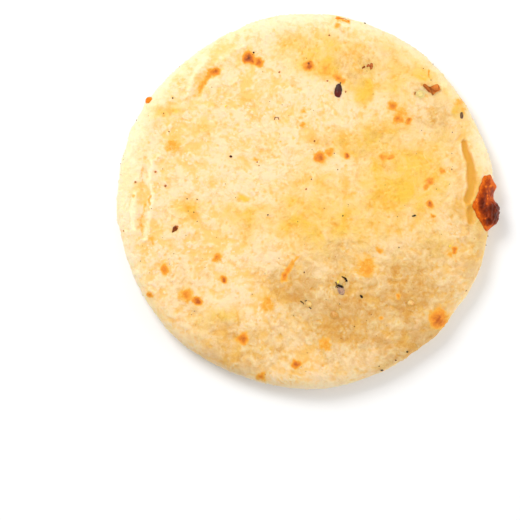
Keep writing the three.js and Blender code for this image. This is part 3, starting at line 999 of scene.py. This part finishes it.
def laid_on_crust(points, x, y, heading=0, sunk=0.0, reach=0.6):
    """Points made about their own origin, with their long side along X, set on the crust at a heading."""
    place, normal = crust_at(x, y, reach)
    turned = math.radians(heading)
    along = Vector((math.cos(turned), math.sin(turned), 0))
    along = (along - normal * along.dot(normal)).normalized()
    across = normal.cross(along)
    return points @ np.array([along, across, normal]) + place - sunk * np.array(normal)


def lump(half_length, half_breadth, half_height, spacing=0.2, bump_size=0.8, bump_height=0.1, taper=0.0):
    """A rounded lump about its own origin, with bumps of one size, narrower at one end by a taper."""
    largest = max(half_length, half_breadth, half_height)
    steps = max(6, round(math.pi * largest / spacing))
    rings = []
    for i in range(steps + 1):
        polar = math.pi * i / steps
        flat = math.sin(polar)
        up = math.cos(polar)
        rings.append(ring(
            spacing,
            largest * flat,
            lambda a: np.stack([flat * np.cos(a), flat * np.sin(a), np.full_like(a, up)], -1),
        ))
    directions, faces = stitched(rings)
    points = directions * np.array([half_length, half_breadth, half_height])
    points[:, 1:] *= (1 - taper * directions[:, :1])
    bumps = [noise.noise(Vector(p / bump_size) + Vector((largest, half_breadth, 7))) for p in points]
    return points + bump_height * np.array(bumps)[:, None] * directions, faces


def joined(parts):
    """Points and faces of several closed shapes as one."""
    points = []
    faces = []
    count = 0
    for part_points, part_faces in parts:
        points.append(part_points)
        faces.extend(tuple(count + i for i in face) for face in part_faces)
        count += len(part_points)
    return np.concatenate(points), faces


beads = []
for bead_x, bead_y, half_length, half_breadth, half_height, heading, level in CHEESE_BEADS:
    bead_points, bead_faces = lump(half_length, half_breadth, half_height)
    beads.append((laid_on_crust(bead_points, bead_x, bead_y, heading, 0.25 * half_height), bead_faces))
cheese_beads = mesh_piece("cheese_beads", *joined(beads))
set_attribute(
    cheese_beads,
    "fried",
    np.concatenate([np.full(len(part[0]), bead[6]) for part, bead in zip(beads, CHEESE_BEADS)]),
)
cheese_beads.data.materials.append(cheese_skin)
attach(cheese_beads, "root")


# ---- The scorched grains -------------------------------------------------------------------------
# Two whole grains that came through the mill and scorched on the griddle. They lie half sunk in the
# crust: a long one with a broad foot, a pointed tip and a split skin, and a small oval one.

# Place, half length, half breadth, half height, heading, taper towards the tip, and how brown.
GRAINS = [
    (10.45, 35.1, 2.2, 1.15, 0.8, 83, 0.08, 1.0),
    (11.05, 37.3, 0.6, 0.22, 0.25, 65, 0.4, 0.9),
    (49.85, 27.3, 1.05, 0.6, 0.45, 84, 0.1, 0.52),
]
GRAIN_BLUNTNESS = 0.2


def scorched_husk():
    """The skin of a scorched grain: dark brown at the tip and maroon at the foot, dry and satin."""
    material, tree = new_material("scorched husk")
    shade = add_node(tree, "ShaderNodeAttribute", attribute_name="shade").outputs["Fac"]
    foot = add_node(tree, "ShaderNodeAttribute", attribute_name="foot").outputs["Fac"]
    streaks = blotches(tree, 0.7, 3.0, 0.4, 0.6)
    darkened = summed(tree, shade, (streaks, 0.5))
    reddened = summed(tree, foot, (streaks, 0.6))
    skin = laid_over(tree, colour("#a5794a"), colour("#42201a"), darkened, 0.1, 0.8)
    skin = laid_over(tree, skin, colour("#5e1205"), reddened, 0.35, 0.75, strongest=0.9)
    levels = {"Value": blotches(tree, 0.8), 1: -0.15, 2: 0.15, 3: 0.36, 4: 0.55}
    dryness = add_node(tree, "ShaderNodeMapRange", levels, interpolation_type="SMOOTHSTEP")
    return finished(
        material,
        {
            "Base Color": skin,
            "Roughness": dryness.outputs[0],
            "Specular IOR Level": 0.25,
            "Normal": finely_bumped(tree, 0.5, 0.08),
        },
    )


grains = []
grain_shades = []
grain_feet = []
for grain_x, grain_y, half_length, half_breadth, half_height, heading, taper, shade in GRAINS:
    grain_points, grain_faces = lump(
        half_length, half_breadth, half_height, spacing=0.14, bump_height=0.12, taper=taper
    )
    along = np.clip(grain_points[:, 0] / half_length, -1, 1)
    grain_points[:, 1:] *= (1.05 - along[:, None] ** 2) ** -GRAIN_BLUNTNESS
    # Shallow creases run from foot to tip.
    creases = np.cos(9 * np.arctan2(grain_points[:, 1], grain_points[:, 2]))
    grain_points[:, 1:] *= 1 + 0.025 * creases[:, None]
    grains.append((laid_on_crust(grain_points, grain_x, grain_y, heading, 0.1 * half_height), grain_faces))
    grain_shades.append(np.full(len(grain_points), shade))
    grain_feet.append(shade * (0.5 - 0.5 * along))
scorched_grains = mesh_piece("scorched_grains", *joined(grains))
set_attribute(scorched_grains, "shade", np.concatenate(grain_shades))
set_attribute(scorched_grains, "foot", np.concatenate(grain_feet))
scorched_grains.data.materials.append(scorched_husk())
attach(scorched_grains, "root")


# ---- The husk flake ------------------------------------------------------------------------------
# A dry brown flake of corn husk stuck in the crust. It is a stiff skin, folded so that one edge
# stands up as a blade and the rest spreads out beside it.

FLAKE_PLACE = (39.8, 35.5)
FLAKE_THICKNESS = 0.22

# The flake's surface as rows from its far side to its near side: across, up the plan, and height.
FLAKE_ROWS = [
    [(-2.7, 1.2, 0.9), (-1.8, 2.1, 0.6), (-0.4, 0.5, 0.1), (0.5, 1.1, 0.6), (2.4, 1.9, 1.0)],
    [(-1.9, 0.5, 1.1), (-1.1, 1.1, 0.5), (-0.1, 0.2, 0.0), (0.9, 0.5, 0.7), (2.7, 0.9, 0.9)],
    [(-1.2, -0.3, 1.0), (-0.5, 0.2, 0.4), (0.3, -0.5, 0.0), (1.2, -0.2, 0.7), (3.5, -0.3, 0.5)],
    [(-0.3, -1.1, 0.6), (0.1, -0.9, 0.2), (0.7, -2.3, 0.1), (1.2, -1.4, 0.4), (2.1, -0.7, 0.3)],
]
# How dark the husk is from its left side to its right: partly its own age, and darkest in the fold's valley,
# which is painted shade.
FLAKE_AGES_AND_FOLD_SHADE = [0.45, 0.3, 0.7, 0.1, 0.0]

flake_place = crust_at(*FLAKE_PLACE, 2.0)[0]
flake_mesh = bpy.data.meshes.new("husk_flake")
columns = len(FLAKE_ROWS[0])
corners = [(Vector(point) + Vector(flake_place + cake_middle)) * MM for row in FLAKE_ROWS for point in row]
flake_faces = [
    (i * columns + j, (i + 1) * columns + j, (i + 1) * columns + j + 1, i * columns + j + 1)
    for i in range(len(FLAKE_ROWS) - 1)
    for j in range(columns - 1)
]
flake_mesh.from_pydata(corners, [], flake_faces)
flake = bpy.data.objects.new("husk_flake", flake_mesh)
bpy.context.scene.collection.objects.link(flake)
set_attribute(flake, "aged_and_fold_shade", FLAKE_AGES_AND_FOLD_SHADE * len(FLAKE_ROWS))
rounding = flake.modifiers.new("rounding", "SUBSURF")
rounding.levels = rounding.render_levels = 3
wall = flake.modifiers.new("wall", "SOLIDIFY")
wall.thickness = FLAKE_THICKNESS * MM
wall.offset = 0
bake(flake)


def dry_husk(name, light, dark):
    """Dry corn husk or bran: a thin brown skin with a faint grain, darker with age, and on the flake also
    darker in the fold as painted shade.
    """
    material, tree = new_material(name)
    skin = laid_over(tree, colour(light), colour(dark), blotches(tree, 1.3, 3.0, 0.8), -0.12, 0.12)
    aged_and_fold_shade = add_node(tree, "ShaderNodeAttribute", attribute_name="aged_and_fold_shade").outputs["Fac"]
    levels = {0: aged_and_fold_shade, 6: skin, 7: colour("#642404")}
    return finished(
        material,
        {
            "Base Color": add_node(tree, "ShaderNodeMix", levels, data_type="RGBA").outputs[2],
            "Roughness": 0.5,
            "Specular IOR Level": 0.08,
            "Normal": finely_bumped(tree, 0.4, 0.06),
            "Subsurface Weight": 0.2,
            "Subsurface Radius": (1.0, 0.5, 0.2),
            "Subsurface Scale": 0.8 * MM,
        },
    )


flake.data.materials.append(dry_husk("dry corn husk", "#dc8438", "#a9561f"))
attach(flake, "root")


# ---- The bran chips ------------------------------------------------------------------------------
# Chips of bran and husk pressed into the crust: flat, thin and reddish brown.

# Place, half length, half breadth, heading, taper, and how dark.
BRAN_CHIPS = [
    (20.9, 42.9, 1.1, 0.62, 80, 0.2, 0.2),
    (19.9, 43.0, 0.6, 0.45, 40, 0.0, 0.0),
    (18.5, 42.5, 0.7, 0.32, 30, 0.0, 0.3),
    (-41.7, -9.1, 1.25, 0.68, 50, -0.35, 0.85),
    (-41.1, -8.3, 0.6, 0.45, -10, 0.0, 0.1),
    (36.5, 34.8, 0.35, 0.28, 0, 0.0, 0.0),
    (34.9, 34.3, 0.5, 0.14, 85, 0.0, 0.3),
    (-9.8, 26.2, 0.45, 0.16, 70, 0.0, 0.5),
    (-8.6, 26.2, 0.45, 0.16, -70, 0.0, 0.5),
    (-9.2, 26.6, 0.4, 0.14, 0, 0.0, 0.5),
]

chips = []
chip_ages = []
for chip_x, chip_y, half_length, half_breadth, heading, taper, age in BRAN_CHIPS:
    chip_points, chip_faces = lump(
        half_length, half_breadth, 0.18, spacing=0.12, bump_size=0.5, bump_height=0.16, taper=taper
    )
    chip_ages.append(np.full(len(chip_points), age))
    chips.append((laid_on_crust(chip_points, chip_x, chip_y, heading, -0.02), chip_faces))
bran_chips = mesh_piece("bran_chips", *joined(chips))
set_attribute(bran_chips, "aged_and_fold_shade", np.concatenate(chip_ages))
bran_chips.data.materials.append(dry_husk("bran", "#d0793c", "#9a4a1c"))
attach(bran_chips, "root")


# ---- The corn kernels ----------------------------------------------------------------------------
# Pieces of corn kernel that the mill missed, half sunk in the dough. They are translucent and
# glassy, and each has a ring-shaped dimple where it shrank as it dried.

# Place, half length, half breadth, half height, heading, and how browned: less than none is whitish.
KERNELS = [
    (36.6, 33.9, 1.6, 1.45, 1.1, 20, -1.0),
    (33.5, -32.4, 1.35, 1.1, 0.7, -20, 0.4),
    (31.9, -32.3, 0.5, 0.7, 0.5, 80, 0.9),
    (0.9, -32.9, 1.5, 1.2, 0.6, -30, 0.35),
    (9.4, -36.2, 1.65, 1.5, 0.4, 0, 0.85),
    (12.2, -26.7, 0.75, 0.6, 0.45, 70, 0.7),
    (10.5, -26.1, 0.6, 0.5, 0.45, 70, 0.5),
]


def corn_kernel():
    """Glassy corn: yellow, translucent and glossy, clouded in patches."""
    material, tree = new_material("glassy corn")
    browned = add_node(tree, "ShaderNodeAttribute", attribute_name="browned").outputs["Fac"]
    clouded = summed(tree, browned, (blotches(tree, 1.2, 2.0, 0.8), 1.6))
    skin = laid_over(tree, colour("#f4cc80"), colour("#d8943c"), clouded, -0.1, 1.1)
    return finished(
        material,
        {
            "Base Color": laid_over(tree, colour("#e6cc80"), skin, clouded, -1.0, -0.3),
            "Roughness": 0.28,
            "Subsurface Weight": 0.6,
            "Subsurface Radius": (1.0, 0.7, 0.3),
            "Subsurface Scale": 1.5 * MM,
        },
    )


kernels = []
kernel_browns_and_edge_shade = []
for kernel_x, kernel_y, half_length, half_breadth, half_height, heading, browned in KERNELS:
    kernel_points, kernel_faces = lump(half_length, half_breadth, half_height, spacing=0.13, bump_height=0.08)
    outward = np.hypot(kernel_points[:, 0] / half_length, kernel_points[:, 1] / half_breadth)
    dimple = 0.35 * bell(outward - 0.62, 0.12) + 0.25 * bell(outward, 0.2)
    kernel_points[:, 2] *= 1 - dimple
    laid = laid_on_crust(kernel_points, kernel_x, kernel_y, heading, 0.35 * half_height)
    kernels.append((laid, kernel_faces))
    # Each kernel's edge is painted darker: painted shade where its dome curves down into the crust.
    kernel_browns_and_edge_shade.append(browned + 0.5 * bell(outward - 0.9, 0.14))
corn_kernels = mesh_piece("corn_kernels", *joined(kernels))
set_attribute(corn_kernels, "browned", np.concatenate(kernel_browns_and_edge_shade))
corn_kernels.data.materials.append(corn_kernel())
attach(corn_kernels, "root")


# ---- The purple skin -----------------------------------------------------------------------------
# A scrap of purple-grey skin from a coloured kernel, lying flat beside the charred crumbs.

skin_points, skin_faces = lump(1.5, 1.1, 0.3, spacing=0.14, bump_size=0.7, bump_height=0.14, taper=0.15)
skin_scrap = mesh_piece("purple_skin", laid_on_crust(skin_points, 11.4, -28.7, -60, 0.05), skin_faces)
skin_scrap.data.materials.append(dry_husk("purple corn skin", "#bf9a7c", "#967664"))
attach(skin_scrap, "root")


# ---- The charred crumbs --------------------------------------------------------------------------
# Crumbs of burnt dough off the griddle, black and matt, stuck round the broken kernels.

# Place, half length, half breadth and heading.
CHARRED_CRUMBS = [
    (12.0, -24.4, 0.5, 0.24, -20),
    (12.7, -24.85, 0.45, 0.4, -50),
    (13.05, -25.45, 0.42, 0.4, -75),
    (9.75, -26.25, 0.35, 0.18, -60),
    (10.0, -26.95, 0.35, 0.2, -30),
    (9.8, -27.45, 0.35, 0.15, 20),
    (10.3, -27.7, 0.3, 0.18, -40),
    (10.75, -27.05, 0.55, 0.42, -20),
    (11.35, -27.3, 0.55, 0.42, -25),
    (11.85, -27.55, 0.35, 0.2, 0),
    (17.8, -30.5, 0.58, 0.4, -45),
    (34.6, -4.8, 0.68, 0.26, 18),
    (-1.3, -32.2, 0.45, 0.18, -30),
    (-0.7, -32.7, 0.35, 0.15, -60),
    (0.1, -31.9, 0.4, 0.16, 20),
    (1.5, -34.2, 0.5, 0.18, -40),
    (24.5, -54.1, 0.6, 0.32, -40),
    (32.5, -48.2, 0.42, 0.3, -30),
]

crumbs = []
for crumb_x, crumb_y, half_length, half_breadth, heading in CHARRED_CRUMBS:
    crumb_points, crumb_faces = lump(
        half_length, half_breadth, half_breadth, spacing=0.1, bump_size=0.3, bump_height=0.14
    )
    crumbs.append((laid_on_crust(crumb_points, crumb_x, crumb_y, heading, -0.05, 0.3), crumb_faces))
charred_crumbs = mesh_piece("charred_crumbs", *joined(crumbs))
material, tree = new_material("charred dough")
char = laid_over(tree, colour("#1c130b"), colour("#4a2d12"), blotches(tree, 0.4), -0.05, 0.15)
charred_dough = finished(material, {"Base Color": char, "Roughness": 0.7, "Specular IOR Level": 0.2})
charred_crumbs.data.materials.append(charred_dough)
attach(charred_crumbs, "root")


# ---- The yellow germs ----------------------------------------------------------------------------
# Broken germs of the corn: small, soft and clear yellow, level with the crust.

# Place, half length, half breadth and heading.
GERMS = [
    (-25.3, 30.2, 0.5, 0.24, 15),
    (-25.5, 29.9, 0.3, 0.2, 60),
    (46.0, -14.4, 0.4, 0.3, 40),
    (11.1, -34.6, 0.25, 0.2, 20),
    (10.4, -25.9, 0.5, 0.34, 75),
    (-7.9, 18.9, 0.3, 0.2, 0),
]

germs = []
for germ_x, germ_y, half_length, half_breadth, heading in GERMS:
    germ_points, germ_faces = lump(half_length, half_breadth, 0.2, spacing=0.12, bump_height=0.06)
    germs.append((laid_on_crust(germ_points, germ_x, germ_y, heading, -0.05, 0.3), germ_faces))
yellow_germs = mesh_piece("yellow_germs", *joined(germs))
material, tree = new_material("corn germ")
germ_skin = laid_over(tree, colour("#f8dc2c"), colour("#eec63e"), blotches(tree, 0.5), -0.1, 0.1)
yellow_germs.data.materials.append(finished(material, {"Base Color": germ_skin, "Roughness": 0.4}))
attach(yellow_germs, "root")


# ---- The specks ----------------------------------------------------------------------------------
# Specks of bran, germ and char that milling and baking leave all over the crust. None is over about
# a millimetre; the large ones lie where they show most, and the dust between them is by chance.

# Place, size and how dark.
SPECKS = [
    (-16.5, 47.2, 0.75, 1.0),
    (-8.3, 41.0, 0.75, 0.15),
    (1.0, 43.8, 0.8, 0.4),
    (-59.2, 12.0, 0.45, 0.4),
    (-58.3, 14.6, 0.4, 0.4),
    (-58.2, 13.2, 0.35, 0.3),
    (-59.0, 8.4, 0.35, 0.3),
    (7.0, 38.2, 0.7, 0.15),
    (19.1, 56.9, 0.7, 0.8),
    (12.8, 34.7, 0.75, 0.15),
    (7.6, 52.7, 0.6, 0.3),
    (2.9, 19.0, 0.7, 0.35),
    (9.2, 15.1, 0.4, 0.8),
    (10.2, 9.9, 0.45, 0.5),
    (1.9, 6.8, 0.5, 0.6),
    (0.2, 3.7, 0.7, 0.1),
    (11.9, -4.8, 0.5, 0.8),
    (13.6, -1.3, 0.35, 0.5),
    (46.6, 10.0, 0.5, 0.4),
    (46.8, 21.8, 0.45, 0.6),
    (-0.4, -22.8, 0.55, 0.8),
    (10.9, -32.9, 0.4, 0.8),
    (15.6, -40.1, 0.4, 0.8),
    (29.8, -14.9, 0.5, 0.6),
    (51.4, -28.7, 0.5, 0.4),
    (28.9, -50.9, 0.65, 0.7),
    (23.5, -52.8, 0.5, 0.9),
    (-42.3, 32.7, 0.6, 1.0),
    (-43.5, 22.0, 0.6, 0.3),
    (-45.2, 27.8, 0.5, 0.3),
    (-54.0, 25.9, 0.5, 0.5),
    (-40.3, 43.0, 0.5, 0.3),
    (-23.8, 14.1, 1.0, 0.85),
    (-54.2, 6.0, 0.8, 0.12),
    (-44.6, 4.7, 0.85, 0.25),
    (-37.7, 0.6, 0.45, 0.6),
    (-34.5, 0.4, 0.45, 0.6),
    (-37.4, -3.3, 0.35, 0.8),
    (-35.6, -3.7, 0.4, 0.7),
    (-34.5, -6.6, 0.35, 0.8),
    (-47.8, 9.2, 0.8, 0.15),
    (-58.1, -9.6, 0.6, 0.15),
    (-12.0, -4.5, 0.6, 0.6),
    (60.0, -12.0, 0.5, 0.5),
    (59.5, -14.4, 0.5, 0.9),
    (40.0, 38.5, 0.4, 0.6),
    (37.6, 42.2, 0.4, 0.5),
    (42.6, 45.1, 0.55, 0.4),
    (-15.4, 12.3, 0.6, 0.2),
    (-14.8, 11.2, 0.45, 0.3),
]
DUST_SEED = 23
DUST_COUNT = 110
DUST_SIZES = (0.16, 0.34)
DUST_REACH = 57
SPECK_FLATNESS = 0.8
SPECK_UNEVENNESS = 0.15
DUST_COLOURS = [(0.0, "#cf7a3a"), (0.5, "#7d4222"), (1.0, "#241108")]


def speck_scatter(material):
    tree, read = new_tree("specks", ["Flatness", "Unevenness"])
    tree.interface.new_socket("Seed", in_out="INPUT", socket_type="NodeSocketInt")
    size = add_node(tree, "GeometryNodeInputNamedAttribute", {"Name": "size"}, data_type="FLOAT").outputs[0]
    levels = {0: size, 1: read["Flatness"]}
    narrow = add_node(tree, "ShaderNodeMath", levels, operation="MULTIPLY").outputs[0]
    levels = {0: (0.0, 0.0, 0.0), 1: (0.5, 0.5, 2 * math.pi), "Seed": read["Seed"]}
    turn = add_node(tree, "FunctionNodeRandomValue", levels, data_type="FLOAT_VECTOR")
    grit = add_node(tree, "GeometryNodeMeshIcoSphere", {"Radius": 0.5, "Subdivisions": 2})
    levels = {
        "Points": read["Geometry"],
        "Instance": grit.outputs[0],
        "Rotation": turn.outputs[0],
        "Scale": add_node(tree, "ShaderNodeCombineXYZ", {0: size, 1: narrow, 2: narrow}).outputs[0],
    }
    placed = add_node(tree, "GeometryNodeInstanceOnPoints", levels)
    realized = add_node(tree, "GeometryNodeRealizeInstances", {0: placed.outputs[0]})
    uneven = add_node(tree, "ShaderNodeTexNoise", {"Scale": 1 / (0.3 * MM), "Detail": 0.0})
    levels = {0: uneven.outputs["Color"], 1: (0.5, 0.5, 0.5)}
    shift = add_node(tree, "ShaderNodeVectorMath", levels, operation="SUBTRACT")
    levels = {0: shift.outputs[0], "Scale": read["Unevenness"]}
    offset = add_node(tree, "ShaderNodeVectorMath", levels, operation="SCALE")
    levels = {"Geometry": realized.outputs[0], "Offset": offset.outputs[0]}
    end_tree(tree, add_node(tree, "GeometryNodeSetPosition", levels).outputs[0], material)
    return tree


def bran_dust():
    """Bran and char dust: orange brown to black, dry and matt."""
    material, tree = new_material("bran dust")
    shade = add_node(tree, "ShaderNodeAttribute", attribute_name="shade").outputs["Fac"]
    dust_colour = add_node(tree, "ShaderNodeValToRGB", {0: shade}, stops=DUST_COLOURS).outputs[0]
    return finished(material, {"Base Color": dust_colour, "Roughness": 0.65, "Specular IOR Level": 0.2})


chance = np.random.default_rng(DUST_SEED)
dust = list(SPECKS)
for grit in range(DUST_COUNT):
    heading = chance.uniform(0, 2 * math.pi)
    distance = DUST_REACH * math.sqrt(chance.uniform())
    size = chance.uniform(*DUST_SIZES)
    dust.append((distance * math.cos(heading), distance * math.sin(heading), size, chance.uniform(0.1, 0.8)))
speck_points = np.array([crust_at(speck[0], speck[1], 0.1)[0] for speck in dust])
specks = mesh_piece("specks", speck_points, [])
set_attribute(specks, "size", [speck[2] * MM for speck in dust])
set_attribute(specks, "shade", [speck[3] for speck in dust])
speck_values = {"Flatness": SPECK_FLATNESS, "Unevenness": SPECK_UNEVENNESS * MM, "Seed": DUST_SEED}
apply_tree(specks, speck_scatter(bran_dust()), speck_values)
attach(specks, "root")


# ---- Table, light and camera ---------------------------------------------------------------------
# A plain white table, one big soft window from the upper left, a bright room and a camera above.

VIEW_WIDTH = 167
VIEW_MIDDLE = (-14.5, -18.9)
CAMERA_HEIGHT = 700
SENSOR_WIDTH = 36
camera_data = bpy.data.cameras.new("camera")
camera_data.sensor_width = SENSOR_WIDTH
camera_data.lens = SENSOR_WIDTH * CAMERA_HEIGHT / VIEW_WIDTH
camera_data.clip_start = 0.01
camera_data.clip_end = 10
camera = bpy.data.objects.new("camera", camera_data)
camera.location = (cake_middle + np.array([*VIEW_MIDDLE, WIDEST_HEIGHT + CAMERA_HEIGHT])) * MM
bpy.context.scene.collection.objects.link(camera)
bpy.context.scene.camera = camera


def add_lamp(name, place, size, power):
    """A soft square lamp that faces the cake, with its place and size in metres."""
    light = bpy.data.lights.new(name, "AREA")
    light.size = size
    light.energy = power
    lamp = bpy.data.objects.new(name, light)
    lamp.location = place
    lamp.rotation_euler = (-Vector(place)).to_track_quat("-Z", "Y").to_euler()
    bpy.context.scene.collection.objects.link(lamp)


add_lamp("window", (-0.24, 0.28, 0.44), 0.26, 2.2)
add_lamp("side fill", (0.50, -0.10, 0.20), 0.4, 1.2)

ROOM_LIGHT = 0.62
world = bpy.data.worlds.new("bright room")
world.use_nodes = True
world.node_tree.nodes["Background"].inputs["Color"].default_value = (1, 1, 1, 1)
world.node_tree.nodes["Background"].inputs["Strength"].default_value = ROOM_LIGHT
bpy.context.scene.world = world
bpy.context.scene.view_settings.view_transform = "Standard"

# The table's top is a hair below the cake, so that the two faces don't flicker.
TABLE_REACH = 2
TABLE_GAP = 0.1
table_mesh = bpy.data.meshes.new("table")
table_corners = [(x * TABLE_REACH, y * TABLE_REACH, 0) for x, y in ((-1, -1), (1, -1), (1, 1), (-1, 1))]
table_mesh.from_pydata(table_corners, [], [(0, 1, 2, 3)])
table = bpy.data.objects.new("table", table_mesh)
bpy.context.scene.collection.objects.link(table)
table.location.z = -TABLE_GAP * MM
material, tree = new_material("white laminate")
table_mesh.materials.append(finished(material, {"Base Color": colour("#f6f6f6"), "Roughness": 0.6}))
